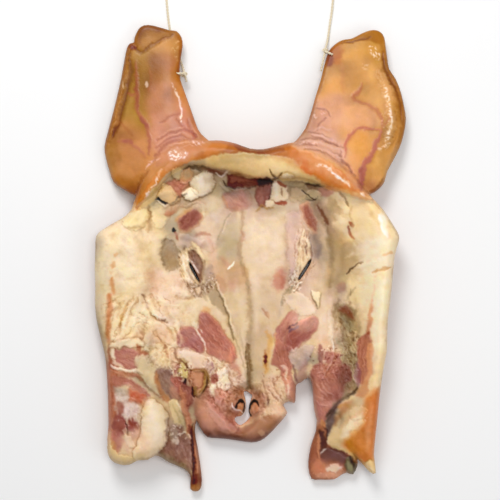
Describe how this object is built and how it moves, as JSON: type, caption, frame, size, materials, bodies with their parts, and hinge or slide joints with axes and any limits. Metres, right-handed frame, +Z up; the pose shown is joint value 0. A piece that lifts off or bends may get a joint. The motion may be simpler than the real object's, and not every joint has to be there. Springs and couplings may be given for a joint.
{
  "type": "cured pig head",
  "caption": "Boned, opened and cured pig head laid flesh side up, with both ears, snout and jowl flaps, and twine tied through the ears to hang it.",
  "frame": {"origin": "centre of the head's own bounding box in plan, on the surface that it rests on", "axes": "+Z up, out of the flesh side; +Y along the head, from the snout towards the ears; +X to the right as seen from above, with the ears at the top"},
  "size_m": [0.3604, 0.617, 0.062],
  "materials": {
    "cured_flesh": "moist fat, skin and cured meat, semi-gloss",
    "twine": "matt two-ply cotton"
  },
  "bodies": {
    "root": {"cured_head": "cured_flesh", "twine_left": "twine", "twine_right": "twine"}
  },
  "joints": []
}
